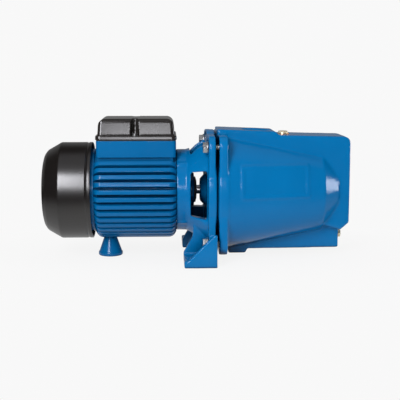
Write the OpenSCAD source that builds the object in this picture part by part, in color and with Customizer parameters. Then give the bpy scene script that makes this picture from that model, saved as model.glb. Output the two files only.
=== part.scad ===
// Shallow well jet pump. A cast iron pump body is bolted to a lantern bracket that
// stands on two legs, and a fan-cooled motor with a finned frame is carried behind it.
// X runs along the shaft from the fan to the suction port and Z is up. The origin is on
// the floor, midway between the two foot holes. All sizes are in millimetres.

/* [Shaft and bearings] */
// Height of the shaft centre above the floor
shaft_h = 90; // [88:1:110]
// Shaft diameter at the seal and the impeller
shaft_d = 12; // [10:0.5:13]
// Bore of the two ball bearings
bearing_bore = 15; // [14:1:16]
// Outside diameter of the two ball bearings
bearing_od = 35; // [34:1:40]
// Width of the two ball bearings
bearing_w = 11; // [10:1:12]

/* [Motor] */
// Length of the finned frame
frame_len = 108; // [90:1:150]
// Outside diameter of the stator core
stator_d = 92; // [84:1:104]
// Wall of the frame under its fins
frame_wall = 7; // [6:0.5:9]
// Height of the fins
fin_h = 11.7; // [8:0.1:14]
// Number of fins in a full circle
fin_count = 40; // [32:4:44]
// Thickness of a fin at its crest
fin_t = 6; // [4:0.1:6.6]
// Thickness of a fin at its root
fin_root = 6.9; // [5:0.1:7.2]
// Diameter of the four tie rods
rod_d = 5; // [4:0.5:6]
// Distance from the frame's rear face to the conical foot
foot_inset = 18; // [14:1:30]
// Diameter of the conical foot where it stands
cone_foot_d = 33; // [26:1:40]

/* [Fan and cover] */
// Length of the fan cover
cover_len = 65; // [60:1:80]
// Wall of the fan cover
cover_wall = 2.5; // [2:0.1:3]
// Diameter of the cover where its taper meets its round rear edge
cover_rear_d = 98; // [88:1:108]
// Length of the cover's tapered part
cover_taper = 28; // [24:1:32]
// Number of fan blades
fan_blades = 9; // [7:1:12]

/* [Terminal box] */
// Length of the terminal box along the motor
box_len = 105; // [88:1:126]
// Width of the terminal box
box_w = 88; // [84:1:106]
// Height of the terminal box above the frame's saddle
box_h = 16; // [14:1:20]
// Height of the cover over its gasket
lid_h = 27.5; // [22:0.5:32]
// Wall of the box and its cover
box_wall = 3; // [2.5:0.5:4]
// Diameter of the capacitor
capacitor_d = 30; // [24:1:30]
// Diameter of the hole for the supply cable
cable_d = 8.4; // [6:0.1:10]

/* [Bracket] */
// Distance from the foot holes back to the motor
bracket_back = 28; // [27:1:40]
// Distance from the foot holes forward to the pump body
bracket_front = 25; // [24:1:34]
// Outside diameter of the lantern's neck
neck_d = 110; // [106:1:124]
// Diameter of the round flange
flange_d = 164; // [158:1:176]
// Thickness of the bracket's flange
flange_t = 12; // [10:1:14]
// Height and width of each lantern window
window_h = 58; // [44:1:62]
// Distance of each flange bolt from the shaft, sideways and in height
bolt_off = 63; // [60:0.5:68]
// Diameter of the four flange bolts
bolt_d = 8; // [6:1:10]
// Width over both feet
foot_w = 184; // [176:1:216]
// Distance between the two foot holes
foot_span = 136; // [130:1:160]
// Diameter of the foot holes
foot_hole_d = 10; // [8:0.5:12]

/* [Pump body] */
// Length of the pump body from its flange to the suction port
body_len = 180; // [170:1:220]
// Wall of the casting
body_wall = 7; // [6:0.5:8]
// Diameter of the round body where it meets its flange
body_rear_d = 160; // [156:1:166]
// Diameter of the round body in front of its taper
body_front_d = 112; // [108:1:130]
// Width of the upper spine that holds both ports
spine_w = 64; // [60:1:76]
// Width of the rib under the body
rib_w = 30; // [26:1:40]
// Radius of both threaded ports
port_r = 15.15; // [12:0.05:16]
// Height of the suction port above the shaft
suction_up = 35; // [32:1:38]
// Distance of the delivery port in front of the flange
delivery_x = 57; // [56:1:64]
// Distance of the priming plug in front of the flange
priming_x = 93; // [90:1:100]
// Diameter of the priming plug's thread
priming_d = 10; // [8:0.5:11]
// Diameter of the drain plug's thread
drain_d = 8; // [6:0.5:9]

/* [Impeller and ejector] */
// Diameter of the impeller
impeller_d = 108; // [96:1:112]
// Number of impeller vanes
vane_count = 6; // [5:1:7]
// Bore of the venturi's throat
throat_d = 14; // [10:0.5:16]
// Bore of the nozzle's tip
nozzle_d = 7; // [5:0.5:8]

/* [Hidden] */
$fn = 96;
// Clearance between seated pieces, between running pieces, and overrun of cuts
fit = 0.1;
run = 0.5;
over = 1;

// Stations along the shaft
x_motor = -bracket_back;
x_rear = x_motor - frame_len;
x_split = bracket_front;
x_plate = x_split - flange_t;
x_front = x_split + body_len;
x_cover1 = x_rear - 4;
x_cover0 = x_cover1 - cover_len;
x_stack0 = x_rear + 24;
x_stack1 = x_motor - 23;
x_foot = x_rear + foot_inset;
x_box = x_motor - box_len / 2;

// Radii of the motor
stator_r = stator_d / 2;
frame_r = stator_r + frame_wall;
fin_r = frame_r + fin_h;
rotor_r = stator_r * 0.6;
cover_r = fin_r + 0.3;
rod_r = stator_r + rod_d / 2 + 3;
boss_r = rod_d / 2 + 2.5;
foot_top = shaft_h - fin_r;
foot_web = 7;
foot_head_h = 4;

// Bearings, rear pocket and front pocket
rear_b1 = x_rear - 9;
rear_b0 = rear_b1 - bearing_w;
washer_t = 1;
shield_end = rear_b0 - washer_t - 3;
front_b1 = x_motor + 16;
front_b0 = front_b1 - bearing_w;
hub_wall = 5.5;
hub_r = bearing_od / 2 + hub_wall;
pitch_r = (bearing_od + bearing_bore) / 4;
ball_r = (bearing_od - bearing_bore) * 0.15;
ball_gap = 0.3;
ball_count = 8;
shoulder_r = bearing_bore / 2 + 2;
seat_r = bearing_bore / 2 + 3;
shaft_r = shaft_d / 2;

// Fan
fan_disc_t = 2.5;
fan1 = shield_end - 9;
fan0 = x_cover0 + 8;
fan_r = cover_r - cover_wall - 12;
fan_tip_r = cover_rear_d / 2 - 5;
fan_hub_r = shaft_r + 5;
clip_t = 1.2;
shaft_x0 = fan0 - clip_t - 1.5;

// Shield and cover
shield_t = 10;
shield_r = frame_r + 3;
seat_ear_r = cover_r - cover_wall - fit;
rear_edge = 6;
nut_h = 4;

// Terminal box
saddle_z = shaft_h + frame_r + 1;
saddle_w = box_w - 2 * box_wall - 2;
skirt = 6;
rim_z = saddle_z + box_h;
gasket_t = 1;
lid_z = rim_z + gasket_t;
lip_h = 5.5;
lip_out = 1;
lid_in = 1.5;
lid_top = lid_z + lid_h;
lid_round = 9;
floor_t = 2.5;
screw_y = box_w / 2 - 7.5;
screw_d = 4;
screw_boss_r = 5;
pocket_r = 6;
lead_x = x_box - 20;
lead_r = 6;
gland_z = saddle_z + 9;
gland_x = x_box - 28;
gland_r = cable_d / 2 + 3.5;

// Bracket
neck_r = max(neck_d / 2, rod_r + 1);
flange_r = flange_d / 2;
flare_r = flange_r - 4;
contact_r = flange_r - 4.5;
cavity_r0 = neck_r - 8;
cavity_r1 = neck_r + 3;
flat_x = x_motor + 20;
flat_r0 = neck_r + 0.2;
flat_r1 = neck_r + 12;
split_gap = 1.5;
lug_r = bolt_d / 2 + 11;
lug_back = 2.6;
leg_x0 = x_motor + 9.3;
leg_x1 = x_split - 1;
leg_in = 40;
leg_wall = 7;
base_t = 9;
seal_r = shaft_r + 7;
chamber_r = shaft_r + 12;
seal_x0 = x_split - 20.5;
wall_x = x_motor + 9;
hub_x = x_motor + 24.4;
seat_x0 = seal_x0 + 4;
seat_x1 = seat_x0 + 7.5;
spigot_r = body_rear_d / 2 - body_wall + 0.5;
spigot_len = 5;
ring_r = 1.5;

// Pump body
cone_x1 = x_front - 37;
nose_x = x_front - 15;
nose_r = body_front_d / 2 - 20;
cavity_r = spigot_r + 0.5;
pad_up = 84;
step_x = x_split + 79;
front_up = 74;
rib_down = 86.5;
wall_a = x_front - 59;
wall_b = x_front - 27;
wall_t = 6;
chamber_w = spine_w - 4 * body_wall + 8;
port_wall = 5;
delivery_at = x_split + delivery_x;
priming_at = x_split + priming_x;
priming_z = shaft_h + front_up + 1;
drain_z = shaft_h - 62;
drain_face = x_front - 11;
plug_gap = 0.15;

// Impeller, diffuser and ejector
imp_x = x_split + 9;
imp_r = impeller_d / 2;
vane_w = 8;
shroud_t = 2.5;
eye_r = 18;
neck_ring_r = eye_r + 3;
hub_len = 22;
vane_t = 3;
diff_r = imp_r + 11;
diff_x0 = x_split + fit;
diff_x1 = imp_x + 22;
tube_r = 19.5;
tube_front_r = 12;
tube_x0 = diff_x1 + 4;
tube_x1 = wall_a + wall_t + 2;
throat_x = wall_a - 28;
nozzle_r = 9;
nut_af = shaft_d + 5;
key_w = 4;
key_x0 = imp_x + 3;
key_x1 = imp_x + 15;
key_z = shaft_h + shaft_r - 2.5;
key_top = shaft_h + shaft_r + 1.4;

// Heads, washers and plugs
bolt_head_h = 5.3;
bolt_washer_t = 1.6;
plug_washer_t = 1.5;
plug_thread = 9;

// Puts a shape's own Z axis on the shaft line, pointing to the pump
module along_shaft(x = 0) { translate([x, 0, shaft_h]) rotate([0, 90, 0]) children(); }

// A round bar on the shaft line
module rod(r, x0, x1) { along_shaft(x0) cylinder(r = r, h = x1 - x0); }

// A ring on the shaft line
module ring(r_out, r_in, x0, x1) {
    difference() {
        rod(r_out, x0, x1);
        rod(r_in, x0 - over, x1 + over);
    }
}

// A shape turned about the shaft from points of radius and station
module turned(points) { along_shaft() rotate_extrude() polygon(points); }

// Turns a shape about the shaft line
module about_shaft(angle) {
    translate([0, 0, shaft_h]) rotate([angle, 0, 0]) translate([0, 0, -shaft_h]) children();
}

// A plate cut from an outline in X and Z, between two distances across the pump
module side_plate(points, y0, y1) {
    translate([0, y1, 0]) rotate([90, 0, 0]) linear_extrude(y1 - y0) polygon(points);
}

// A block between two corners
module block(low, high) { translate(low) cube(high - low); }

// Both hands of a shape, left and right of the shaft
module both_sides() {
    children();
    mirror([0, 1, 0]) children();
}

// The four diagonal places of the tie rods
module at_rods() { for (a = [45 : 90 : 315]) about_shaft(a) translate([0, 0, shaft_h + rod_r]) children(); }

// The four places of the flange bolts
module at_bolts() {
    for (y = [-bolt_off, bolt_off], z = [-bolt_off, bolt_off])
        translate([0, y, shaft_h + z]) rotate([0, 90, 0]) children();
}

// A flange's plate: square, with its corners rounded about the bolts, and bulged to nearly the round flange
module lugs(x0, x1) {
    side = 2 * (bolt_off + lug_r);
    along_shaft(x0) linear_extrude(x1 - x0) difference() {
        union() {
            circle(r = flange_r - 3);
            square([side, 2 * bolt_off], center = true);
            square([2 * bolt_off, side], center = true);
            for (a = [45 : 90 : 315]) rotate(a) translate([bolt_off * sqrt(2), 0]) circle(r = lug_r);
        }
        circle(r = flange_r * 0.8);
    }
}

// A hexagon head, with its flats a given distance apart
module hex_head(af, h) { cylinder(r = af / sqrt(3), h = h, $fn = 6); }

module fan_cover() {
    rear_r = cover_rear_d / 2;
    color("#2b2826") difference() {
        turned([
            [0, x_cover0], [rear_r - 8, x_cover0], [rear_r - 4, x_cover0 + 1.2],
            [rear_r - 1.4, x_cover0 + 3.4], [rear_r, x_cover0 + rear_edge],
            [cover_r - 1, x_cover0 + cover_taper - 1], [cover_r, x_cover0 + cover_taper + 1],
            [cover_r, x_cover1 - 7], [cover_r - 0.9, x_cover1 - 6.2], [cover_r - 0.9, x_cover1 - 5],
            [cover_r, x_cover1 - 4.2], [cover_r, x_cover1], [cover_r - cover_wall, x_cover1],
            [cover_r - cover_wall, x_cover0 + cover_taper + 1],
            [rear_r - cover_wall, x_cover0 + rear_edge], [rear_r - 8 - cover_wall / 2, x_cover0 + cover_wall],
            [0, x_cover0 + cover_wall]
        ]);
        grille_slots();
    }
}

// Ring-shaped air slots in the rear face, crossed by eight spokes
module grille_slots() {
    slot = 4;
    pitch = 6.5;
    spoke = 3;
    rings = floor((cover_rear_d / 2 - 20) / pitch);
    difference() {
        for (i = [0 : rings - 1])
            ring(14 + i * pitch + slot, 14 + i * pitch, x_cover0 - over, x_cover0 + cover_wall + over);
        for (a = [0 : 45 : 135]) about_shaft(a)
            block([x_cover0 - 2 * over, -spoke / 2, shaft_h - cover_r],
                  [x_cover0 + cover_wall + 2 * over, spoke / 2, shaft_h + cover_r]);
    }
}

module cooling_fan() {
    blade_t = 2.2;
    color("#3a3a3c") difference() {
        union() {
            rod(fan_r, fan1 - fan_disc_t, fan1);
            rod(fan_hub_r, fan0, fan1 + 4);
            for (i = [0 : fan_blades - 1]) about_shaft(i * 360 / fan_blades)
                side_plate([
                    [fan0, shaft_h + fan_hub_r - 2], [fan0, shaft_h + fan_tip_r],
                    [fan0 + 12, shaft_h + fan_r], [fan1 - 1, shaft_h + fan_r],
                    [fan1 - 1, shaft_h + fan_hub_r - 2]
                ], -blade_t / 2, blade_t / 2);
        }
        rod(shaft_r + fit / 2, fan0 - over, fan1 + 4 + over);
    }
}

module fan_clip() {
    color("#8d9094") difference() {
        ring(shaft_r + 3, shaft_r - 1 + fit / 2, fan0 - clip_t - fit, fan0 - fit);
        block([fan0 - 5, -1.5, shaft_h - shaft_r - 5], [fan0 + 5, 1.5, shaft_h - 1]);
    }
}

module rear_end_shield() {
    ear_w = 18;
    ear_t = 6;
    pocket_r = bearing_od / 2 + fit / 2;
    color("#0b6aae") difference() {
        union() {
            rod(shield_r, x_rear - shield_t, x_rear);
            rod(hub_r, shield_end, x_rear);
            rod(stator_r - fit, x_rear - over, x_rear + 4);
            for (a = [45 : 90 : 315]) about_shaft(a) intersection() {
                block([x_rear - shield_t, -ear_w / 2, shaft_h + stator_r],
                      [x_rear - shield_t + ear_t, ear_w / 2, shaft_h + cover_r]);
                rod(seat_ear_r, x_rear - shield_t - over, x_rear);
            }
        }
        rod(pocket_r, rear_b0 - washer_t, x_rear + 5);
        ring(stator_r - 4, hub_r + 3, x_rear - shield_t + 5, x_rear + 5);
        rod(bearing_bore / 2 + 1, shield_end - over, rear_b0);
        at_rods() rotate([0, 90, 0]) translate([0, 0, x_rear - shield_t - over])
            cylinder(r = rod_d / 2 + fit, h = shield_t + 2 * over);
    }
}

module bearing_spring_washer() {
    r = bearing_od / 2 - 0.5;
    color("#9a9da1") ring(r, r - 3.5, rear_b0 - washer_t + fit / 2, rear_b0 - fit / 2);
}

// A bearing ring with its ball groove, between two radii
module bearing_ring(r_in, r_out, x0) {
    along_shaft() rotate_extrude() difference() {
        translate([r_in, x0]) square([r_out - r_in, bearing_w]);
        translate([pitch_r, x0 + bearing_w / 2]) circle(r = ball_r + ball_gap);
    }
}

module outer_ring(x0) { bearing_ring(pitch_r + ball_r * 0.55, bearing_od / 2, x0); }

module inner_ring(x0) { bearing_ring(bearing_bore / 2, pitch_r - ball_r * 0.55, x0); }

module ball_set(x0) {
    for (i = [0 : ball_count - 1]) about_shaft(i * 360 / ball_count)
        translate([x0 + bearing_w / 2, 0, shaft_h + pitch_r]) sphere(r = ball_r, $fn = 32);
}

module rear_bearing_outer_ring() { color("#b4b8bc") outer_ring(rear_b0); }

module rear_bearing_inner_ring() { color("#b4b8bc") inner_ring(rear_b0); }

module rear_bearing_balls() { color("#c9cdd1") ball_set(rear_b0); }

module front_bearing_outer_ring() { color("#b4b8bc") outer_ring(front_b0); }

module front_bearing_inner_ring() { color("#b4b8bc") inner_ring(front_b0); }

module front_bearing_balls() { color("#c9cdd1") ball_set(front_b0); }

// The frame's section: a ring with drafted fins, left out under the saddle, and the bosses of the tie rods
module frame_section() {
    clear_up = saddle_z - skirt - shaft_h - fin_t / 2;
    edge = 0.6;
    circle(r = frame_r);
    for (a = [180 / fin_count : 360 / fin_count : 360])
        if (fin_r * cos(a) < clear_up) rotate(180 + a) polygon([
            [frame_r - over, -fin_root / 2], [fin_r - edge, -fin_t / 2], [fin_r, edge - fin_t / 2],
            [fin_r, fin_t / 2 - edge], [fin_r - edge, fin_t / 2], [frame_r - over, fin_root / 2]
        ]);
    for (a = [45 : 90 : 315]) rotate(a) translate([rod_r, 0]) circle(r = boss_r);
}

// The turned envelope that rounds the ends of the fins
module frame_envelope() {
    end_r = fin_h - 2;
    bend = [for (a = [0 : 15 : 75]) [fin_r - end_r * (1 - cos(a)), end_r * (1 - sin(a))]];
    turned(concat(
        [[0, x_rear - over], [bend[5][0], x_rear - over]],
        [for (i = [5 : -1 : 0]) [bend[i][0], x_rear + bend[i][1]]],
        [for (p = bend) [p[0], x_motor - p[1]]],
        [[bend[5][0], x_motor + over], [0, x_motor + over]]
    ));
}

module motor_frame() {
    color("#0b6aae") difference() {
        union() {
            intersection() {
                along_shaft(x_rear) linear_extrude(frame_len) frame_section();
                frame_envelope();
            }
            block([x_rear + 4, -saddle_w / 2, shaft_h + stator_r * 0.6],
                  [x_motor - 4, saddle_w / 2, saddle_z]);
            translate([x_foot, 0, foot_top]) cylinder(r = 9, h = fin_h + 2);
        }
        rod(stator_r, x_rear - over, x_motor + over);
        at_rods() rotate([0, 90, 0]) translate([0, 0, x_rear - over])
            cylinder(r = rod_d / 2 + fit, h = frame_len + 2 * over);
        translate([x_foot, 0, foot_top - over]) cylinder(r = 3 + fit, h = fin_h + over);
        translate([lead_x, 0, shaft_h]) cylinder(r = lead_r, h = fin_r);
        box_screw_places() translate([0, 0, saddle_z - 8]) cylinder(r = screw_d / 2 + fit, h = 8 + over);
    }
}

// The four tie rods run from nuts behind the shield into the bracket
module tie_rods() {
    color("#8d9094") at_rods() rotate([0, 90, 0]) translate([0, 0, x_rear - shield_t - nut_h - 2])
        cylinder(r = rod_d / 2, h = frame_len + shield_t + nut_h + 2 + 10);
}

module tie_rod_nuts() {
    color("#b9bdc0") at_rods() rotate([0, 90, 0]) translate([0, 0, x_rear - shield_t - nut_h])
        difference() {
            hex_head(rod_d + 3, nut_h);
            translate([0, 0, -over]) cylinder(r = rod_d / 2 + fit / 2, h = nut_h + 2 * over);
        }
}

// Slots of the stator, wide enough for the winding plus a liner
slot_count = 24;
slot_in = rotor_r + 3;
slot_out = stator_r - 6;
slot_w = 4;

module slot_bars(width, r_in, r_out, x0, x1) {
    for (i = [0 : slot_count - 1]) about_shaft(i * 360 / slot_count)
        block([x0, -width / 2, shaft_h + r_in], [x1, width / 2, shaft_h + r_out]);
}

module stator_core() {
    color("#6f7377") difference() {
        ring(stator_r - fit / 2, rotor_r + run, x_stack0, x_stack1);
        slot_bars(slot_w, slot_in, slot_out, x_stack0 - over, x_stack1 + over);
    }
}

module stator_winding() {
    turn = 14;
    gap = 0.3;
    color("#b5652a") {
        ring(slot_out - gap, slot_in + gap, x_stack0 - turn, x_stack0 - gap);
        ring(slot_out - gap, slot_in + gap, x_stack1 + gap, x_stack1 + turn);
        slot_bars(slot_w - 2 * gap, slot_in + 2 * gap, slot_out - 2 * gap,
                  x_stack0 - turn / 2, x_stack1 + turn / 2);
    }
}

module rotor_core() { color("#75797d") ring(rotor_r, seat_r, x_stack0, x_stack1); }

module rotor_end_rings() {
    color("#c5c9cc") {
        ring(rotor_r - 1, rotor_r - 9, x_stack0 - 7, x_stack0);
        ring(rotor_r - 1, rotor_r - 9, x_stack1, x_stack1 + 7);
    }
}

module shaft() {
    end_x = imp_x + hub_len + 9;
    groove = fan0 - clip_t - fit;
    color("#c3c7ca") difference() {
        turned([
            [0, shaft_x0], [shaft_r, shaft_x0], [shaft_r, groove - fit], [shaft_r - 1, groove - fit],
            [shaft_r - 1, fan0], [shaft_r, fan0], [shaft_r, fan1 + 4], [bearing_bore / 2 - 0.5, fan1 + 4],
            [bearing_bore / 2 - 0.5, rear_b0 - 1], [bearing_bore / 2, rear_b0 - 1],
            [bearing_bore / 2, rear_b1], [shoulder_r, rear_b1], [shoulder_r, x_stack0 - 8],
            [seat_r, x_stack0 - 8], [seat_r, x_stack1 + 8],
            [shoulder_r, x_stack1 + 8], [shoulder_r, front_b0], [bearing_bore / 2, front_b0],
            [bearing_bore / 2, front_b1], [shaft_r, front_b1 + 1], [shaft_r, imp_x + hub_len - 1],
            [shaft_r - 1, imp_x + hub_len], [shaft_r - 1, end_x - 1], [shaft_r - 2, end_x], [0, end_x]
        ]);
        block([key_x0, -key_w / 2, key_z], [key_x1, key_w / 2, shaft_h + shaft_r + over]);
    }
}

module rear_foot() {
    r = cone_foot_d / 2;
    web_z = foot_top - foot_web;
    color("#0b6aae") translate([x_foot, 0, 0]) rotate_extrude() polygon([
        [7, 0], [r - 1, 0], [r, 1], [r, 4.5], [r - 1.2, 6], [8.5, foot_top], [3.2, foot_top], [3.2, web_z],
        [7, web_z]
    ]);
}

module rear_foot_screw() {
    color("#b9bdc0") translate([x_foot, 0, foot_top - foot_web - foot_head_h]) {
        hex_head(10, foot_head_h);
        cylinder(r = 3, h = foot_head_h + foot_web + fin_h - 2);
    }
}

// A box with upright corners rounded, between two heights
module round_box(len, width, z0, z1, r) {
    translate([x_box, 0, z0]) linear_extrude(z1 - z0) {
        square([len - 2 * r, width], center = true);
        square([len, width - 2 * r], center = true);
        for (x = [-1, 1], y = [-1, 1]) translate([x * (len / 2 - r), y * (width / 2 - r)]) circle(r = r);
    }
}

module box_screw_places() { for (x = [-1, 1]) translate([x_box + x * (box_len / 2 - 16), 9, 0]) children(); }

module cover_screw_places() { for (y = [-screw_y, screw_y]) translate([x_box - 1.5, y, 0]) children(); }

module terminal_box() {
    color("#0b6aae") difference() {
        union() {
            difference() {
                round_box(box_len, box_w, saddle_z - skirt, rim_z, 5);
                block([x_rear - over, -saddle_w / 2 - 0.5, shaft_h],
                      [x_motor + over, saddle_w / 2 + 0.5, saddle_z]);
                round_box(box_len - 2 * box_wall, box_w - 2 * box_wall, saddle_z + floor_t, rim_z + over, 3);
            }
            cover_screw_places() translate([0, 0, saddle_z + 1]) cylinder(r = screw_boss_r, h = box_h - 1);
        }
        cover_screw_places() translate([0, 0, saddle_z + 4]) cylinder(r = screw_d / 2 + fit, h = box_h);
        box_screw_places() translate([0, 0, saddle_z - over])
            cylinder(r = screw_d / 2 + fit, h = floor_t + 2 * over);
        translate([lead_x, 0, saddle_z - over]) cylinder(r = lead_r, h = floor_t + 2 * over);
        translate([gland_x, box_w / 2 - box_wall - over, gland_z]) rotate([-90, 0, 0])
            cylinder(r = gland_r - 1.5 + fit, h = box_wall + 2 * over);
    }
}

module box_screws() {
    color("#b9bdc0") box_screw_places() {
        translate([0, 0, saddle_z + floor_t]) cylinder(r = screw_d, h = 2.6);
        translate([0, 0, saddle_z - 7]) cylinder(r = screw_d / 2, h = floor_t + 7.5);
    }
}

module terminal_gasket() {
    color("#232323") difference() {
        round_box(box_len - 0.6, box_w - 0.6, rim_z, lid_z, 4.7);
        round_box(box_len - 2 * box_wall + 0.6, box_w - 2 * box_wall + 0.6, rim_z - over, lid_z + over, 2.7);
    }
}

// The cover's crowned block, with its top rounded more at both ends than along its long sides
module lid_block(len, width, z0, z1, r) {
    intersection() {
        round_box(len, width, z0 - over, z1 + over, r / 2);
        translate([x_box, width / 2 + over, 0]) rotate([90, 0, 0]) linear_extrude(width + 2 * over)
            lid_outline(len, z0, z1, r);
        translate([x_box - len / 2 - over, 0, 0]) rotate([90, 0, 90]) linear_extrude(len + 2 * over)
            lid_outline(width, z0, z1, r / 2);
    }
}

module lid_outline(len, z0, z1, r) {
    translate([-len / 2, z0]) square([len, z1 - z0 - r]);
    translate([-len / 2 + r, z0]) square([len - 2 * r, z1 - z0]);
    for (x = [-1, 1]) translate([x * (len / 2 - r), z1 - r]) circle(r = r);
}

module terminal_cover() {
    len = box_len - 2 * lid_in;
    width = box_w - 2 * lid_in;
    wall = box_wall - 0.5;
    color("#242220") difference() {
        union() {
            difference() {
                union() {
                    round_box(box_len + 2 * lip_out, box_w + 2 * lip_out, lid_z, lid_z + lip_h, 6);
                    lid_block(len, width, lid_z, lid_top, lid_round);
                }
                lid_block(len - 2 * wall, width - 2 * wall, lid_z - over, lid_top - wall, lid_round - wall);
            }
            intersection() {
                cover_screw_places() translate([0, 0, lid_z]) cylinder(r = pocket_r + wall, h = lid_h);
                lid_block(len, width, lid_z, lid_top, lid_round);
            }
        }
        for (side = [-1, 1]) translate([x_box - 1.5, side * screw_y, lid_z + lip_h]) {
            cylinder(r = pocket_r, h = lid_h);
            translate([-pocket_r, side > 0 ? 0 : -box_w / 2, 0]) cube([2 * pocket_r, box_w / 2, lid_h]);
        }
        cover_screw_places() translate([0, 0, lid_z - over])
            cylinder(r = screw_d / 2 + fit, h = lip_h + 2 * over);
    }
}

module cover_screws() {
    color("#c9cdd0") cover_screw_places() {
        translate([0, 0, lid_z + lip_h]) difference() {
            cylinder(r = screw_d, h = 2.8);
            translate([-screw_d - 1, -0.5, 1.6]) cube([2 * screw_d + 2, 1, 2]);
        }
        translate([0, 0, saddle_z + 6]) cylinder(r = screw_d / 2, h = lid_z + lip_h - saddle_z - 5.5);
    }
}

// The terminal block stands on the box floor, with three brass studs
stud_pitch = 14;
block_x = x_box + 26;
block_y = 22;

module terminal_block() {
    z0 = saddle_z + floor_t;
    color("#d8d3c4") difference() {
        union() {
            block([block_x - 24, block_y - 7, z0], [block_x + 14, block_y + 7, z0 + 8]);
            for (i = [-1 : 2]) translate([block_x - 5 + (i - 0.5) * stud_pitch * 0.9, block_y, z0])
                block([-0.8, -7, 7], [0.8, 7, 14]);
        }
        for (i = [-1 : 1]) translate([block_x - 5 + i * stud_pitch * 0.9, block_y, z0 + 2])
            cylinder(r = 2 + fit, h = 10);
    }
}

module terminal_studs() {
    z0 = saddle_z + floor_t;
    color("#c9a24a") for (i = [-1 : 1]) translate([block_x - 5 + i * stud_pitch * 0.9, block_y, z0]) {
        translate([0, 0, 2.5]) cylinder(r = 2, h = 13);
        translate([0, 0, 8]) hex_head(7, 3);
    }
}

module capacitor() {
    r = capacitor_d / 2;
    color("#d9dadb") translate([x_box + 2 - 35, -11, saddle_z + floor_t + r + fit]) rotate([0, 90, 0]) {
        cylinder(r = r, h = 66);
        translate([0, 0, 66]) cylinder(r = r - 3, h = 2);
        for (y = [-5, 5]) translate([-1, y - 3, 67]) cube([1, 6, 8]);
    }
}

// Stations of the cable gland, out of the far wall of the box
module at_gland() { translate([gland_x, box_w / 2, gland_z]) rotate([-90, 0, 0]) children(); }

module cable_gland() {
    color("#2c2c2e") at_gland() difference() {
        union() {
            translate([0, 0, -box_wall - 4]) cylinder(r = gland_r - 1.5, h = box_wall + 5);
            hex_head(2 * gland_r, 4);
            translate([0, 0, 3]) cylinder(r = gland_r - 1.5, h = 8);
        }
        translate([0, 0, -box_wall - 5]) cylinder(r = cable_d / 2, h = box_wall + 18);
    }
}

module gland_nut() {
    color("#2c2c2e") at_gland() difference() {
        union() {
            translate([0, 0, 4 + fit]) hex_head(2 * gland_r, 7);
            translate([0, 0, 4 + fit]) cylinder(r1 = gland_r, r2 = gland_r - 1, h = 11);
        }
        cylinder(r = gland_r - 1.5 + fit, h = 11 + fit);
        cylinder(r = cable_d / 2 + 0.5, h = 20);
    }
}

// The lantern's outside: a round neck that opens into four flats towards the flange
module lantern_outside() {
    flats = [
        [x_motor - over, shaft_h - flat_r0], [flat_x, shaft_h - flat_r0], [x_plate + 2, shaft_h - flat_r1],
        [x_plate + 2, shaft_h + flat_r1], [flat_x, shaft_h + flat_r0], [x_motor - over, shaft_h + flat_r0]
    ];
    intersection() {
        turned([
            [0, x_motor], [neck_r, x_motor], [neck_r, flat_x - 6], [flare_r, x_plate + 1], [0, x_plate + 1]
        ]);
        side_plate(flats, -flange_r, flange_r);
        about_shaft(90) side_plate(flats, -flange_r, flange_r);
    }
}

// The lantern's inside, which opens towards the flange
module lantern_cavity() {
    turned([
        [0, wall_x], [cavity_r0, wall_x], [cavity_r0, flat_x], [cavity_r1, x_plate + 1 + over],
        [0, x_plate + 1 + over]
    ]);
}

// The round flange with its spigot and the hub that holds the shaft seal, turned in one profile
module seal_wall() {
    groove = spigot_r - 2 * ring_r + fit;
    groove_x = x_split + 1 + 2 * ring_r + 2 * fit;
    turned([
        [flange_r, x_plate], [flange_r, x_split - split_gap], [contact_r, x_split - split_gap],
        [contact_r, x_split], [spigot_r, x_split], [spigot_r, x_split + 1], [groove, x_split + 1],
        [groove, groove_x], [spigot_r, groove_x], [spigot_r, x_split + spigot_len],
        [spigot_r - 6, x_split + spigot_len], [spigot_r - 6, x_split], [chamber_r, x_split],
        [chamber_r, seat_x1], [seal_r, seat_x1], [seal_r, seat_x0], [shaft_r + 1, seat_x0],
        [shaft_r + 1, seal_x0], [shaft_r + 9, seal_x0], [chamber_r + 5, x_plate - 1], [chamber_r + 5, x_plate]
    ]);
}

// One leg: a base with its bolt pocket between an outer gusset and an inner wall
module leg() {
    y1 = foot_w / 2;
    block([leg_x0, leg_in, 0], [leg_x1, y1, base_t]);
    block([x_plate + 1.5, leg_in, 0], [leg_x1, y1, shaft_h - bolt_off + lug_r - 4]);
    side_plate([
        [leg_x0, 0], [leg_x0, 4], [x_plate + 7, shaft_h - 47], [leg_x1, shaft_h - 47], [leg_x1, 0]
    ], y1 - leg_wall, y1);
    side_plate([
        [leg_x0, 0], [leg_x0, 12], [leg_x0 + 12, 33], [leg_x0 + 14, shaft_h - window_h / 2 - 1],
        [x_plate + 2.5, shaft_h - window_h / 2 - 1], [x_plate + 2.5, 0]
    ], leg_in, leg_in + leg_wall + 1);
}

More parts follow.
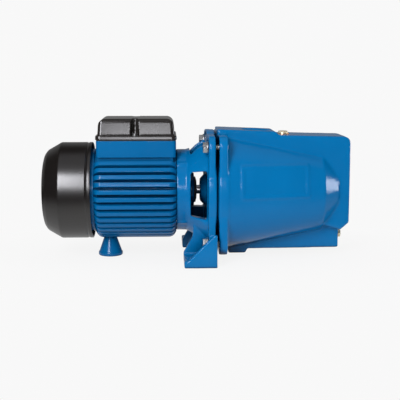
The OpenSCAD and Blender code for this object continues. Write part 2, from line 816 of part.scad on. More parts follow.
module bracket() {
    half = window_h / 2;
    win_x0 = x_motor + 19;
    win_x1 = x_plate - 1;
    win_in = hub_r + 7;
    flare = 3;
    reach = flat_r1 + 3;
    color("#0b6aae") difference() {
        union() {
            difference() {
                union() {
                    lantern_outside();
                    both_sides() leg();
                    lugs(x_plate + 0.5, x_split - lug_back);
                    at_rods() rotate([0, 90, 0]) translate([0, 0, x_motor + 1]) cylinder(r = boss_r, h = 12);
                }
                lantern_cavity();
            }
            rod(hub_r, wall_x - 2, hub_x);
            seal_wall();
        }
        rod(bearing_od / 2 + fit / 2, x_motor - over, front_b1);
        rod(pitch_r, x_motor, hub_x + over);
        both_sides() side_plate([
            [win_x0, shaft_h - half], [win_x1, shaft_h - half - flare], [win_x1, shaft_h + half + flare],
            [win_x0, shaft_h + half]
        ], win_in, reach);
        block([win_x0, -half, shaft_h + win_in], [win_x1, half, shaft_h + reach]);
        at_rods() rotate([0, 90, 0]) translate([0, 0, x_motor - over]) cylinder(r = rod_d / 2 + fit, h = 12);
        at_bolts() translate([0, 0, x_plate - over]) cylinder(r = bolt_d / 2 + 0.4, h = flange_t + 2 * over);
        both_sides() translate([0, foot_span / 2, -over])
            cylinder(r = foot_hole_d / 2, h = base_t + 2 * over);
    }
}

module slinger() {
    bore = shaft_r + fit / 2;
    disc_r = shaft_r + 11.5;
    color("#1c1c1d") turned([
        [bore, hub_x - 4], [shaft_r + 3, hub_x - 4], [shaft_r + 3, hub_x + run], [disc_r, hub_x + run],
        [disc_r, hub_x + run + 1.5], [shaft_r + 6, hub_x + run + 3], [bore, hub_x + run + 3]
    ]);
}

module seal_seat() { color("#e6e1d6") ring(seal_r - fit, shaft_r + 1.2, seat_x0, seat_x1); }

// The turning half of the seal: carbon face, bellows and spring collar
head_x0 = seat_x1 + 0.2;
head_x1 = imp_x;

module seal_head() {
    bore = shaft_r + fit / 2;
    color("#2f3033") turned([
        [bore, head_x0 + 3], [shaft_r + 0.6, head_x0], [shaft_r + 4.5, head_x0], [shaft_r + 4.5, head_x0 + 3],
        [shaft_r + 6.5, head_x0 + 3], [shaft_r + 6.5, head_x0 + 5], [shaft_r + 2.5, head_x0 + 5],
        [shaft_r + 2.5, head_x1 - 2], [shaft_r + 6.5, head_x1 - 2], [shaft_r + 6.5, head_x1], [bore, head_x1]
    ]);
}

// The seal spring, one round wire wound as a helix between the collar and the carbon face
wire_r = 0.8;
coil_r = shaft_r + 4.5;
coil_turns = 3;
coil_steps = 10;
wire_sides = 6;
coil_x0 = head_x0 + 5 + wire_r + 0.2;
coil_x1 = head_x1 - 2 - wire_r - 0.2;

function coil_point(i, j) = let(
    a = i * 360 / coil_steps,
    b = j * 360 / wire_sides,
    r = coil_r + wire_r * cos(b)
) [coil_x0 + (coil_x1 - coil_x0) * i / (coil_turns * coil_steps) + wire_r * sin(b), r * sin(a), r * cos(a)];

module seal_spring() {
    n = coil_turns * coil_steps;
    m = wire_sides;
    points = [for (i = [0 : n], j = [0 : m - 1]) coil_point(i, j)];
    walls = [for (i = [0 : n - 1], j = [0 : m - 1], half = [0, 1]) let(
        a = i * m + j, b = i * m + (j + 1) % m, c = a + m, d = b + m
    ) half == 0 ? [a, c, b] : [b, c, d]];
    ends = [for (j = [1 : m - 2], side = [0, 1])
        side == 0 ? [0, j, j + 1] : [n * m, n * m + j + 1, n * m + j]];
    color("#c6c9cc") translate([0, 0, shaft_h]) polyhedron(points, concat(walls, ends));
}

// One backward-curved vane, an arc of a circle between the eye and the rim
module vane_outline(r_in, r_out, arc_r, offset_r, t) {
    intersection() {
        difference() {
            translate([0, offset_r]) circle(r = arc_r + t / 2);
            translate([0, offset_r]) circle(r = arc_r - t / 2);
        }
        difference() {
            circle(r = r_out);
            circle(r = r_in);
        }
        translate([0, -r_out]) square(2 * r_out);
    }
}

module impeller() {
    b0 = imp_x + 1;
    v0 = b0 + shroud_t;
    v1 = v0 + vane_w;
    f1 = v1 + shroud_t;
    hub = shaft_r + 3.5;
    color("#b98f3f") difference() {
        union() {
            turned([
                [0, imp_x], [hub + 3, imp_x], [hub + 3, b0], [imp_r, b0], [imp_r, v0], [hub + 3, v0],
                [hub, v0 + 3], [hub, imp_x + hub_len], [0, imp_x + hub_len]
            ]);
            turned([
                [eye_r, v1], [imp_r, v1], [imp_r, f1], [neck_ring_r, f1], [neck_ring_r, diff_x1 + 2],
                [eye_r, diff_x1 + 2]
            ]);
            for (i = [0 : vane_count - 1]) along_shaft(v0 - 0.5) rotate([0, 0, i * 360 / vane_count])
                linear_extrude(vane_w + 1)
                    vane_outline(eye_r - 2, imp_r - 0.5, imp_r * 0.62, imp_r * 0.42, vane_t);
        }
        rod(shaft_r + fit / 2, imp_x - over, imp_x + hub_len + over);
        block([imp_x - over, -key_w / 2 - fit, shaft_h], [key_x1 + 0.5, key_w / 2 + fit, key_top + fit]);
    }
}

module impeller_key() {
    color("#9a9da1") block([key_x0 + fit, -key_w / 2 + fit, key_z], [key_x1 - fit, key_w / 2 - fit, key_top]);
}

module impeller_nut() {
    color("#c3c7ca") along_shaft(imp_x + hub_len) difference() {
        hex_head(nut_af, 6.5);
        translate([0, 0, -over]) cylinder(r = shaft_r - 1 + fit / 2, h = 6.5 + 2 * over);
    }
}

// The diffuser, a bowl round the impeller with guide vanes and a socket for the venturi
module diffuser() {
    wall = 3;
    gap = run + 0.5;
    vanes = 7;
    shell_x = imp_x + 2;
    back_x = diff_x1 + wall;
    color("#46484a") difference() {
        union() {
            turned([
                [imp_r + gap + 2, diff_x0], [diff_r, diff_x0], [diff_r, back_x],
                [tube_r + 4, back_x], [tube_r + 4, back_x + 12], [tube_r + fit, back_x + 12],
                [tube_r + fit, back_x], [neck_ring_r + gap, back_x], [neck_ring_r + gap, diff_x1],
                [diff_r - wall, diff_x1], [diff_r - wall, shell_x], [imp_r + gap + 2, shell_x]
            ]);
            for (i = [0 : vanes - 1]) along_shaft(shell_x - 0.5) rotate([0, 0, i * 360 / vanes])
                linear_extrude(diff_x1 - shell_x + 1)
                    vane_outline(imp_r + gap, diff_r - 1, imp_r * 0.75, imp_r * 0.42, vane_t);
        }
        for (i = [0 : vanes - 1]) about_shaft((i + 0.5) * 360 / vanes)
            block([diff_x1 - 12, -9, shaft_h + diff_r - wall - 1], [diff_x1 - 2, 9, shaft_h + diff_r + over]);
    }
}

module venturi_tube() {
    r = throat_d / 2;
    groove = tube_x1 - 5.5;
    color("#2e2f31") turned([
        [tube_r - 2.5, tube_x0], [tube_r, tube_x0], [tube_r, diff_x1 + 15], [tube_r - 1.5, diff_x1 + 18],
        [tube_front_r, throat_x], [tube_front_r, groove], [tube_front_r - 2, groove],
        [tube_front_r - 2, groove + 3], [tube_front_r, groove + 3], [tube_front_r, tube_x1],
        [r + 2.5, tube_x1], [r, tube_x1 - 6], [r, throat_x]
    ]);
}

// A rubber ring of round section on the shaft line
module o_ring(r, section, x) {
    along_shaft(x) rotate_extrude() translate([r, 0]) circle(r = section, $fn = 32);
}

module venturi_o_ring() { color("#1a1a1b") o_ring(tube_front_r - 0.95, 0.95, tube_x1 - 4); }

module nozzle() {
    x0 = wall_b + wall_t;
    tip = wall_a + wall_t + 6;
    color("#c9a24a") difference() {
        union() {
            along_shaft(x0 + 2) hex_head(2 * nozzle_r + 2, 6);
            turned([
                [0, tip], [nozzle_d / 2 + 1.5, tip], [nozzle_r - 1, wall_b - 3], [nozzle_r, wall_b - 3],
                [nozzle_r, x0 + 2.5], [0, x0 + 2.5]
            ]);
        }
        turned([
            [0, tip - over], [nozzle_d / 2, tip - over], [nozzle_d / 2, tip + 4], [nozzle_r - 3, wall_b],
            [nozzle_r - 3, x0 + 10], [0, x0 + 10]
        ]);
    }
}

module nozzle_o_ring() { color("#1a1a1b") o_ring(nozzle_r + 1, 0.95, wall_b + wall_t + 1); }

module body_o_ring() { color("#1a1a1b") o_ring(spigot_r - ring_r + 0.2, ring_r, x_split + 1 + ring_r + fit); }

// Radius of the round body at a station
cone_x0 = x_split + 17;
function cone_r(x) = (body_rear_d + (body_front_d - body_rear_d) * (x - cone_x0) / (cone_x1 - cone_x0)) / 2;

module body_cone(grow) {
    turned([
        [0, x_split + 6], [cone_r(x_split + 6) + grow, x_split + 6], [body_front_d / 2 + grow, cone_x1],
        [nose_r + grow, nose_x], [0, nose_x]
    ]);
}

// Outline of the spine that carries both ports, seen from the side
module spine(width) {
    round_r = 9;
    corner = [for (a = [0 : 15 : 90])
        [x_front - round_r + round_r * sin(a), shaft_h + front_up - round_r + round_r * cos(a)]];
    side_plate(concat(
        [[x_split + 2, shaft_h], [x_split + 2, shaft_h + pad_up], [step_x, shaft_h + pad_up - 3],
         [step_x + 5, shaft_h + front_up + 2]],
        corner,
        [[x_front, shaft_h - 42], [drain_face, shaft_h - 52], [cone_x1 - 20, shaft_h - 38]]
    ), -width / 2, width / 2);
}

module rib() {
    side_plate([
        [x_split + 18, shaft_h - 40], [x_split + 18, shaft_h - rib_down], [x_split + 42, shaft_h - rib_down],
        [x_split + 44, shaft_h - rib_down + 6], [drain_face, shaft_h - rib_down + 7],
        [drain_face, shaft_h - 40]
    ], -rib_w / 2, rib_w / 2);
}

// A bare raised frame cast on the near side of the round body
module cast_frame() {
    x0 = x_split + 31;
    x1 = x_split + 121;
    z0 = shaft_h - 3;
    z1 = shaft_h + 39;
    band = 3;
    intersection() {
        body_cone(1.2);
        difference() {
            block([x0, -flange_r, z0], [x1, 0, z1]);
            block([x0 + band, -flange_r - over, z0 + band], [x1 - band, over, z1 - band]);
        }
    }
}

module body_cavity() {
    wall_front = x_front - body_wall;
    inner = spine_w / 2 - body_wall;
    turned([
        [0, x_split - over], [cavity_r, x_split - over], [cavity_r, x_split + 9],
        [body_front_d / 2 - body_wall, cone_x1 - 3], [nose_r - 4, nose_x - body_wall], [0, nose_x - body_wall]
    ]);
    block([x_split + 22, -inner, shaft_h - 36],
          [step_x - body_wall, inner, shaft_h + pad_up - 3 - body_wall]);
    block([x_split + 22, -inner, shaft_h - 36], [wall_front, inner, shaft_h + front_up - body_wall]);
}

// The walls of the suction chamber and the bosses of both ports, inside the casting
module inner_walls() {
    half = spine_w / 2 - over;
    block([wall_a, -half, shaft_h - 26],
          [wall_b + wall_t, half, shaft_h + suction_up + port_r + port_wall + 4]);
    translate([wall_b, 0, shaft_h + suction_up]) rotate([0, 90, 0])
        cylinder(r = port_r + port_wall, h = x_front - wall_b - over);
    translate([delivery_at, 0, shaft_h + 62]) cylinder(r = port_r + port_wall, h = 17);
    translate([priming_at, 0, shaft_h + front_up - 13]) cylinder(r = priming_d / 2 + 5, h = 10);
}

module body_bores() {
    chamber_top = shaft_h + suction_up + port_r + 4;
    block([wall_a + wall_t, -chamber_w / 2, shaft_h - 20], [wall_b, chamber_w / 2, chamber_top]);
    rod(tube_front_r + fit, wall_a - over, wall_a + wall_t + over);
    rod(nozzle_r + fit, wall_b - over, wall_b + wall_t + over);
    translate([wall_b - over, 0, shaft_h + suction_up]) rotate([0, 90, 0])
        cylinder(r = port_r, h = x_front - wall_b + 2 * over);
    translate([x_front - 2, 0, shaft_h + suction_up]) rotate([0, 90, 0])
        cylinder(r1 = port_r, r2 = port_r + 3, h = 3);
    translate([delivery_at, 0, shaft_h + 62 - over]) cylinder(r = port_r, h = pad_up);
    translate([delivery_at, 0, shaft_h + pad_up - 5]) cylinder(r = port_r + 6, h = 10);
    translate([priming_at, 0, shaft_h + front_up - 14]) cylinder(r = priming_d / 2 + plug_gap, h = 20);
    translate([priming_at, 0, priming_z]) cylinder(r = priming_d / 2 + 5, h = 10);
    translate([drain_face - 30, 0, drain_z]) rotate([0, 90, 0]) cylinder(r = drain_d / 2 + plug_gap, h = 40);
    translate([drain_face - 26, 0, drain_z]) cylinder(r = drain_d / 2 - 1, h = 30);
    at_bolts() translate([0, 0, x_split]) cylinder(r = bolt_d / 2 + fit, h = 15);
}

module pump_body() {
    color("#0b6aae") difference() {
        union() {
            difference() {
                union() {
                    body_cone(0);
                    spine(spine_w);
                    rib();
                    rod(contact_r, x_split, x_split + 8);
                    rod(flange_r, x_split + split_gap, x_split + 13.6);
                    lugs(x_split + split_gap + 0.6, x_split + 13.1);
                    cast_frame();
                }
                body_cavity();
            }
            inner_walls();
        }
        body_bores();
    }
}

module flange_bolts() {
    color("#c9cdd0") at_bolts() {
        translate([0, 0, x_plate - bolt_washer_t - bolt_head_h]) hex_head(bolt_d + 5, bolt_head_h);
        translate([0, 0, x_plate - 2]) cylinder(r = bolt_d / 2, h = flange_t + 16);
    }
}

module flange_washers() {
    color("#b9bdc0") at_bolts() translate([0, 0, x_plate - bolt_washer_t]) difference() {
        cylinder(r = bolt_d, h = bolt_washer_t);
        translate([0, 0, -over]) cylinder(r = bolt_d / 2 + 0.2, h = bolt_washer_t + 2 * over);
    }
}

// A hexagon plug that rests on its washer, with its thread below
module plug(d, head) {
    af = d + 2;
    translate([0, 0, plug_washer_t - plug_thread]) cylinder(r = d / 2, h = plug_thread);
    translate([0, 0, plug_washer_t - 0.01]) cylinder(r = af / 2 + 0.8, h = 1.2);
    translate([0, 0, plug_washer_t + 1]) hex_head(af, head);
}

// A flat sealing washer round a plug's thread
module plug_washer(d) {
    difference() {
        cylinder(r = d / 2 + 3.5, h = plug_washer_t - fit);
        translate([0, 0, -over]) cylinder(r = d / 2 + 0.3, h = 4);
    }
}

module at_priming() { translate([priming_at, 0, priming_z]) children(); }

module at_drain() { translate([drain_face, 0, drain_z]) rotate([0, 90, 0]) children(); }

module priming_plug() { color("#d9bf8a") at_priming() plug(priming_d, 2.4); }

module priming_washer() { color("#a8572c") at_priming() plug_washer(priming_d); }

module drain_plug() { color("#c9a24a") at_drain() plug(drain_d, 3); }

module drain_washer() { color("#a8572c") at_drain() plug_washer(drain_d); }

fan_cover();
cooling_fan();
fan_clip();
rear_end_shield();
bearing_spring_washer();
rear_bearing_outer_ring();
rear_bearing_inner_ring();
rear_bearing_balls();
front_bearing_outer_ring();
front_bearing_inner_ring();
front_bearing_balls();
motor_frame();
tie_rods();
tie_rod_nuts();
stator_core();
stator_winding();
rotor_core();
rotor_end_rings();
shaft();
rear_foot();
rear_foot_screw();
terminal_box();
box_screws();
terminal_gasket();
terminal_cover();
cover_screws();
terminal_block();
terminal_studs();
capacitor();
cable_gland();
gland_nut();
bracket();
slinger();
seal_seat();
seal_head();
seal_spring();
impeller();
impeller_key();
impeller_nut();
diffuser();
venturi_tube();
venturi_o_ring();
nozzle();
nozzle_o_ring();
body_o_ring();
pump_body();
flange_bolts();
flange_washers();
priming_plug();
priming_washer();
drain_plug();
drain_washer();
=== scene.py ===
import math

import bmesh
import bpy
from mathutils import Matrix, Vector


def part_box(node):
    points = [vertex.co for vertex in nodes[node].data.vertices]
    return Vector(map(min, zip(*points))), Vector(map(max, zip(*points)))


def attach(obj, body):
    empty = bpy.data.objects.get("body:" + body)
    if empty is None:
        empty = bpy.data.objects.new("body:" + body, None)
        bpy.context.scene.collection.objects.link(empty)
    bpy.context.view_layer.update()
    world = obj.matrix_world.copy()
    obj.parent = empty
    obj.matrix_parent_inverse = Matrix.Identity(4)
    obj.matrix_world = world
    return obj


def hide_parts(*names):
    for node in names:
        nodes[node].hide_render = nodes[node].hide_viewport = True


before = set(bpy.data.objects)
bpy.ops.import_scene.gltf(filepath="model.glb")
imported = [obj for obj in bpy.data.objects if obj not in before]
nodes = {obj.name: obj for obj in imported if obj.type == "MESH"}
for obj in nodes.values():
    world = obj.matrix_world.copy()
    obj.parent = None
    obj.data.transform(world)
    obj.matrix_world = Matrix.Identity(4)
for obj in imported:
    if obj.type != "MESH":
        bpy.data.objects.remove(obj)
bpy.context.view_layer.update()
scene = bpy.context.scene
scene.view_settings.view_transform = "Standard"

# Camera
# The pump is seen from its long side, a little from above and from the motor's end,
# with a long lens, so that the fan is on the left and the suction port on the right.
camera_place = Vector((-0.042, -1.190, 0.256))
camera_target = Vector((0.005, 0.0, 0.075))
lens = bpy.data.cameras.new("camera")
lens.lens = 79
lens.sensor_width = 36
camera = bpy.data.objects.new("camera", lens)
camera.location = camera_place
camera.rotation_euler = (camera_target - camera_place).to_track_quat("-Z", "Y").to_euler()
scene.collection.objects.link(camera)
scene.camera = camera


# Studio
# A pale seamless floor under a white sky. Large soft lamps stand in front, at the right
# and overhead, and the floor keeps a faint shadow under the feet.
class Value:
    """A number in a material: arithmetic on it adds Math nodes."""

    def __init__(self, finish, socket):
        self.finish = finish
        self.socket = socket

    def math(self, operation, left, right):
        return self.finish.add("ShaderNodeMath", {"operation": operation}, {0: left, 1: right})

    def __add__(self, other):
        return self.math("ADD", self, other)

    def __sub__(self, other):
        return self.math("SUBTRACT", self, other)

    def __rsub__(self, other):
        return self.math("SUBTRACT", other, self)

    def __mul__(self, other):
        return self.math("MULTIPLY", self, other)

    __radd__ = __add__
    __rmul__ = __mul__


class Finish:
    """A surface made of nodes on Object coordinates."""

    def __init__(self, name, tree=None):
        if tree is None:
            self.material = bpy.data.materials.new(name)
            self.material.use_nodes = True
            tree = self.material.node_tree
        self.tree = tree
        tree.nodes.clear()

    def add(self, kind, settings=(), sockets=(), output=0):
        node = self.tree.nodes.new(kind)
        for name, value in dict(settings).items():
            setattr(node, name, value)
        for key, value in dict(sockets).items():
            if isinstance(value, Value):
                self.tree.links.new(value.socket, node.inputs[key])
            else:
                node.inputs[key].default_value = value
        return Value(self, node.outputs[output]) if node.outputs else None

    def noise(self, size, detail=2.0, stretch=(1, 1, 1)):
        """Soft blotches of about a given size in metres."""
        place = self.add("ShaderNodeTexCoord", output="Object")
        place = self.add("ShaderNodeMapping", (), {"Vector": place, "Scale": stretch})
        return self.add("ShaderNodeTexNoise", (), {"Vector": place, "Scale": 1 / size, "Detail": detail})

    def mix(self, factor, first, second):
        return self.add("ShaderNodeMix", {"data_type": "RGBA"}, {0: factor, 6: first, 7: second}, output=2)

    def relief(self, height, depth):
        return self.add("ShaderNodeBump", (), {"Strength": 1.0, "Distance": depth, "Height": height})

    def shade(self, **sockets):
        sockets = {name.replace("_", " "): value for name, value in sockets.items()}
        shader = self.add("ShaderNodeBsdfPrincipled", (), sockets)
        self.add("ShaderNodeOutputMaterial", (), {"Surface": shader})
        return self


def ray(finish, kind):
    return finish.add("ShaderNodeLightPath", output=f"Is {kind} Ray")


def smooth(finish, value, low, high):
    """Zero below low, one above high, with a soft change between."""
    settings = {"interpolation_type": "SMOOTHSTEP"}
    return finish.add("ShaderNodeMapRange", settings, {"Value": value, "From Min": low, "From Max": high})


white = (0.94, 0.94, 0.94, 1)
sky_light = 0.46
dark_room = 0.01
backdrop_light = 0.25
world = bpy.data.worlds.new("sky")
world.use_nodes = True
scene.world = world
sky = Finish("sky", world.node_tree)
towards = sky.add("ShaderNodeTexCoord", output="Generated")
behind = sky.add("ShaderNodeSeparateXYZ", (), {"Vector": towards}, output="Y")
above = sky.add("ShaderNodeSeparateXYZ", (), {"Vector": towards}, output="Z")
backdrop = dark_room + backdrop_light * smooth(sky, behind - 0.9 * above, -0.15, 0.45)
direct = ray(sky, "Camera")
mirrored = ray(sky, "Glossy") + ray(sky, "Transmission")
level = direct + (1 - direct) * (mirrored * backdrop + (1 - mirrored) * sky_light)
sky_shader = sky.add("ShaderNodeBackground", (), {"Color": white, "Strength": level})
sky.add("ShaderNodeOutputWorld", (), {"Surface": sky_shader})

floor_size = 6.0
shadow_share = 0.08
shadow_reach = 0.34
table_light = 0.7
table_start = 0.15
table_end = 0.55
ground = Finish("floor")
place = ground.add("ShaderNodeTexCoord", output="Object")
place = ground.add("ShaderNodeMapping", (), {"Vector": place, "Scale": (0.75, 1.5, 1)})
away = ground.add("ShaderNodeVectorMath", {"operation": "LENGTH"}, {0: place}, output="Value")
near = shadow_share * (1 - smooth(ground, away, 0.05, shadow_reach))
plain = ground.add("ShaderNodeBsdfDiffuse", (), {"Color": (0.90, 0.90, 0.90, 1)})
direct = ray(ground, "Camera")
mirrored = ray(ground, "Glossy") + ray(ground, "Transmission")
table = table_light - (table_light - dark_room) * smooth(ground, away, table_start, table_end)
glow = ground.add("ShaderNodeEmission", (), {"Color": white, "Strength": direct + mirrored * table})
floor_shader = ground.add("ShaderNodeMixShader", (), {0: direct * (1 - near) + mirrored, 1: plain, 2: glow})
ground.add("ShaderNodeOutputMaterial", (), {"Surface": floor_shader})
shape = bmesh.new()
bmesh.ops.create_grid(shape, x_segments=1, y_segments=1, size=floor_size / 2)
floor_mesh = bpy.data.meshes.new("floor")
shape.to_mesh(floor_mesh)
shape.free()
floor_mesh.materials.append(ground.material)
floor = bpy.data.objects.new("floor", floor_mesh)
scene.collection.objects.link(floor)


def lamp(name, place, target, width, height, power):
    light = bpy.data.lights.new(name, "AREA")
    light.color = (0.95, 0.95, 1.0)
    light.shape = "RECTANGLE"
    light.size = width
    light.size_y = height
    light.energy = power
    stand = bpy.data.objects.new(name, light)
    stand.location = place
    stand.rotation_euler = (Vector(target) - Vector(place)).to_track_quat("-Z", "Y").to_euler()
    scene.collection.objects.link(stand)


lamp("front", (-0.53, -1.26, 0.78), (-0.20, 0, 0.10), 0.36, 0.76, 20)
lamp("side", (-0.09, -1.46, 0.47), (-0.08, 0, 0.15), 0.30, 0.14, 1.9)
lamp("right", (1.45, 0.08, 0.16), (0.19, -0.04, 0.10), 0.46, 0.42, 7)
lamp("top", (0.10, -0.20, 1.75), (0, 0, 0.10), 2.0, 1.4, 3)

# Motor frame
# A finned aluminium barrel with a flat saddle on top, under gloss blue enamel. Its ends are
# turned, so every fin slopes at both ends, and it is clamped between shield and bracket.
merge_within = 1e-6


def solid_of(node):
    """A merged copy of a CAD node's mesh, ready for shaping."""
    shape = bmesh.new()
    shape.from_mesh(nodes[node].data)
    bmesh.ops.remove_doubles(shape, verts=shape.verts, dist=merge_within)
    return shape


def soften(shape, width, segments=2, sharper=30):
    """Rounds the edges that turn by more than a given angle."""
    flat = math.radians(1)
    bmesh.ops.dissolve_limit(shape, angle_limit=flat, verts=shape.verts, edges=shape.edges)
    corner = math.radians(sharper)
    edges = [e for e in shape.edges if len(e.link_faces) == 2 and e.calc_face_angle() > corner]
    bmesh.ops.bevel(shape, geom=edges, offset=width, offset_type="OFFSET", segments=segments,
                    profile=0.5, affect="EDGES", clamp_overlap=False, material=-1)
    return shape


def settle(obj):
    """Makes what the modifiers give the object's own mesh."""
    made = bpy.data.meshes.new_from_object(obj.evaluated_get(bpy.context.evaluated_depsgraph_get()))
    obj.modifiers.clear()
    obj.data = made


def make(name, shape, finish, body="pump", stands_for=(), smooth_below=35):
    """Turns a bmesh into a piece that rides on a body and may stand for CAD nodes."""
    mesh = bpy.data.meshes.new(name)
    shape.to_mesh(mesh)
    shape.free()
    mesh.materials.append(finish.material)
    mesh.shade_smooth()
    mesh.set_sharp_from_angle(angle=math.radians(smooth_below))
    obj = bpy.data.objects.new(name, mesh)
    scene.collection.objects.link(obj)
    even = obj.modifiers.new("even", "WEIGHTED_NORMAL")
    even.keep_sharp = True
    settle(obj)
    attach(obj, body)
    if stands_for:
        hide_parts(*stands_for)
    return obj


def enamel(name, lump_size, lump_depth, crease_shade_colour, deep, bright):
    """Gloss blue paint over lumps of a given size and depth, with painted shade darkening its creases and
    hollows.
    """
    finish = Finish(name)
    tone = finish.noise(0.06)
    peel = finish.noise(0.0016, detail=1.0)
    lumps = finish.noise(lump_size, detail=4.0)
    # Painted shade: ambient occlusion darkens the base colour towards the crease shade colour in creases,
    # grooves and hollows.
    openness = finish.add("ShaderNodeAmbientOcclusion", {"samples": 8}, {"Distance": 0.040}, output="AO")
    clear = smooth(finish, openness, 0.14, 0.60)
    return finish.shade(
        Base_Color=finish.mix(clear, crease_shade_colour, finish.mix(tone, deep, bright)),
        Roughness=0.14 + 0.10 * finish.noise(0.012),
        Specular_IOR_Level=0.24,
        Normal=finish.relief(lumps + 0.12 * peel, lump_depth),
    )


# The first colour is painted shade for the barrel's fin grooves, creases and hollows.
barrel_paint = enamel("blue_enamel_on_aluminium", 0.012, 0.00004, (0.0, 0.066, 0.180, 1),
                      (0.0, 0.090, 0.240, 1), (0.0, 0.108, 0.282, 1))
make("motor_frame_painted", soften(solid_of("motor_frame"), 0.0005), barrel_paint,
     stands_for=["motor_frame"])

# Rear end shield
# A cast aluminium disc with the rear bearing in its hub. Four ears on its rim carry the
# fan cover, and it wears the same enamel as the barrel.
make("rear_end_shield_painted", soften(solid_of("rear_end_shield"), 0.0006), barrel_paint,
     stands_for=["rear_end_shield"])

# Fan cover
# A moulded plastic hood, pushed over the shield's ears, with air slots in its rear face. Its
# skin is finely spark-eroded satin black, and its taper is shorter and fuller than the CAD's.
satin = Finish("satin_black_plastic")
grain = satin.noise(0.0006, detail=3.0)
cloud = satin.noise(0.035)
satin.shade(
    Base_Color=satin.mix(cloud, (0.0042, 0.0032, 0.0028, 1), (0.0074, 0.0056, 0.0048, 1)),
    Roughness=0.25 + 0.05 * grain + 0.03 * cloud,
    Specular_IOR_Level=1.0,
    Normal=satin.relief(grain, 0.000008),
)
shaft_height = 0.090
hood_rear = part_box("fan_cover")[0][0]
grille_end = 0.0385
edge_end = 0.006
taper_end = 0.029
fullest = 0.006
shorter = 0.22
shape = solid_of("fan_cover")
for vertex in shape.verts:
    arm = Vector((0, vertex.co.y, vertex.co.z - shaft_height))
    along = vertex.co.x - hood_rear
    if arm.length > grille_end and along < taper_end:
        swell = min(0.5 + 0.5 * along / edge_end, (taper_end - along) / (taper_end - edge_end))
        vertex.co += arm.normalized() * fullest * swell
    if edge_end < along < taper_end + merge_within:
        vertex.co.x -= (along - edge_end) * shorter
make("fan_hood", soften(shape, 0.0006, sharper=11), satin, stands_for=["fan_cover"])


def dress(finish, *names):
    """Gives CAD nodes a finish."""
    for name in names:
        for slot in nodes[name].material_slots:
            slot.material = finish.material


# Fan and its circlip
# A nylon fan with straight radial blades on a disc, so that it cools both ways round. It is
# pushed on the shaft's tail and kept there by a spring steel circlip.
nylon = Finish("grey_nylon")
speck = nylon.noise(0.0009)
nylon.shade(
    Base_Color=nylon.mix(speck, (0.030, 0.030, 0.032, 1), (0.050, 0.050, 0.052, 1)),
    Roughness=0.45 + 0.15 * speck,
    Normal=nylon.relief(speck, 0.00004),
)
dress(nylon, "cooling_fan")

# Shaft, bearings and steel fittings
# Ground steel: a shaft stepped for two ball bearings, the bearings' rings and balls, the
# tie rods, and small spring parts. Fine turning marks run round the shaft.
steel = Finish("ground_steel")
turning = steel.noise(0.0007, detail=2.0, stretch=(6, 0.2, 0.2))
stain = steel.noise(0.018)
steel.shade(
    Base_Color=steel.mix(stain, (0.42, 0.42, 0.43, 1), (0.60, 0.60, 0.61, 1)),
    Metallic=1.0,
    Roughness=0.22 + 0.16 * turning,
    Normal=steel.relief(turning, 0.00002),
)
dress(steel, "shaft", "fan_clip", "bearing_spring_washer", "rear_bearing_outer_ring",
      "rear_bearing_inner_ring", "rear_bearing_balls", "front_bearing_outer_ring",
      "front_bearing_inner_ring", "front_bearing_balls", "tie_rods", "seal_spring", "impeller_key")

# Stator and rotor
# Stacks of half-millimetre electrical sheet with enamelled copper coils, and a rotor with
# end rings of cast aluminium. They are shut in the barrel.
sheets = Finish("electrical_sheet")
stack = sheets.noise(0.0012, detail=1.0, stretch=(1, 0.01, 0.01))
sheets.shade(
    Base_Color=sheets.mix(stack, (0.10, 0.10, 0.105, 1), (0.20, 0.20, 0.21, 1)),
    Metallic=0.9,
    Roughness=0.45 + 0.2 * stack,
    Normal=sheets.relief(stack, 0.00006),
)
dress(sheets, "stator_core", "rotor_core")

copper = Finish("enamelled_copper")
strands = copper.noise(0.0014, detail=1.0, stretch=(0.1, 1, 1))
copper.shade(
    Base_Color=copper.mix(strands, (0.32, 0.10, 0.03, 1), (0.62, 0.25, 0.10, 1)),
    Metallic=0.9,
    Roughness=0.28 + 0.15 * strands,
    Normal=copper.relief(strands, 0.0001),
)
dress(copper, "stator_winding", "priming_washer", "drain_washer")

bare = Finish("bare_aluminium")
cloudy = bare.noise(0.004, detail=3.0)
bare.shade(
    Base_Color=bare.mix(cloudy, (0.52, 0.53, 0.54, 1), (0.68, 0.69, 0.70, 1)),
    Metallic=1.0,
    Roughness=0.30 + 0.18 * cloudy,
    Normal=bare.relief(cloudy, 0.00003),
)
dress(bare, "rotor_end_rings", "capacitor")

# Rear foot
# A hollow cone of painted aluminium under the motor's tail, held by one screw from below,
# so that the pump stands level on three points.
make("rear_foot_painted", soften(solid_of("rear_foot"), 0.0008, segments=3), barrel_paint,
     stands_for=["rear_foot"])

# Zinc-plated fasteners
# Bright zinc steel with a faint blue-grey bloom: nuts and screws that hold the motor, its
# foot and its terminal box.
zinc = Finish("bright_zinc")
bloom = zinc.noise(0.003, detail=3.0)
zinc.shade(
    Base_Color=zinc.mix(bloom, (0.52, 0.53, 0.54, 1), (0.74, 0.75, 0.74, 1)),
    Metallic=1.0,
    Roughness=0.20 + 0.22 * bloom,
    Normal=zinc.relief(bloom, 0.00002),
)
dress(zinc, "tie_rod_nuts", "rear_foot_screw", "box_screws", "impeller_nut", "cover_screws")

# Terminal box
# A blue box with a skirt that hides the saddle's edge, screwed down from inside, with a
# rubber gasket on its rim.
make("terminal_box_painted", soften(solid_of("terminal_box"), 0.0009, segments=3), barrel_paint,
     stands_for=["terminal_box"])

rubber = Finish("black_rubber")
dust = rubber.noise(0.005, detail=4.0)
rubber.shade(
    Base_Color=rubber.mix(dust, (0.010, 0.010, 0.010, 1), (0.022, 0.021, 0.020, 1)),
    Roughness=0.60 + 0.2 * dust,
    Normal=rubber.relief(dust, 0.00003),
)
dress(rubber, "terminal_gasket", "slinger", "venturi_o_ring", "nozzle_o_ring", "body_o_ring")

